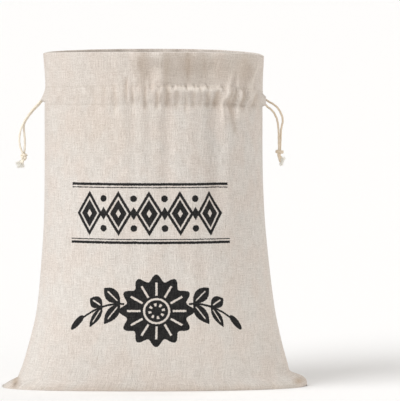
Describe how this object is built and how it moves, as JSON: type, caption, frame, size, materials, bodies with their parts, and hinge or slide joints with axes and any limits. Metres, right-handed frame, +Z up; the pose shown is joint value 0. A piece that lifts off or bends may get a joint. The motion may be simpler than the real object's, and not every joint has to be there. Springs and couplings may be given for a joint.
{
  "type": "drawstring bread bag",
  "caption": "Open-topped linen bag with a flat base, a gathered drawcord channel under its heading and knotted ties at both sides.",
  "frame": {"origin": "on the floor, under the middle of the bag without its ties", "axes": "+X to the right as seen from the printed front, +Y to the back, +Z up"},
  "size_m": [0.3047, 0.163, 0.3348],
  "materials": {
    "linen": "plain weave, matt, undyed",
    "cotton_cord": "twisted, matt, cream"
  },
  "bodies": {
    "root": {"front_panel": "linen", "back_panel": "linen", "left_drawcord": "cotton_cord", "right_drawcord": "cotton_cord", "left_front_tie": "cotton_cord", "left_back_tie": "cotton_cord", "right_front_tie": "cotton_cord", "right_back_tie": "cotton_cord", "left_knot": "cotton_cord", "right_knot": "cotton_cord"}
  },
  "joints": []
}
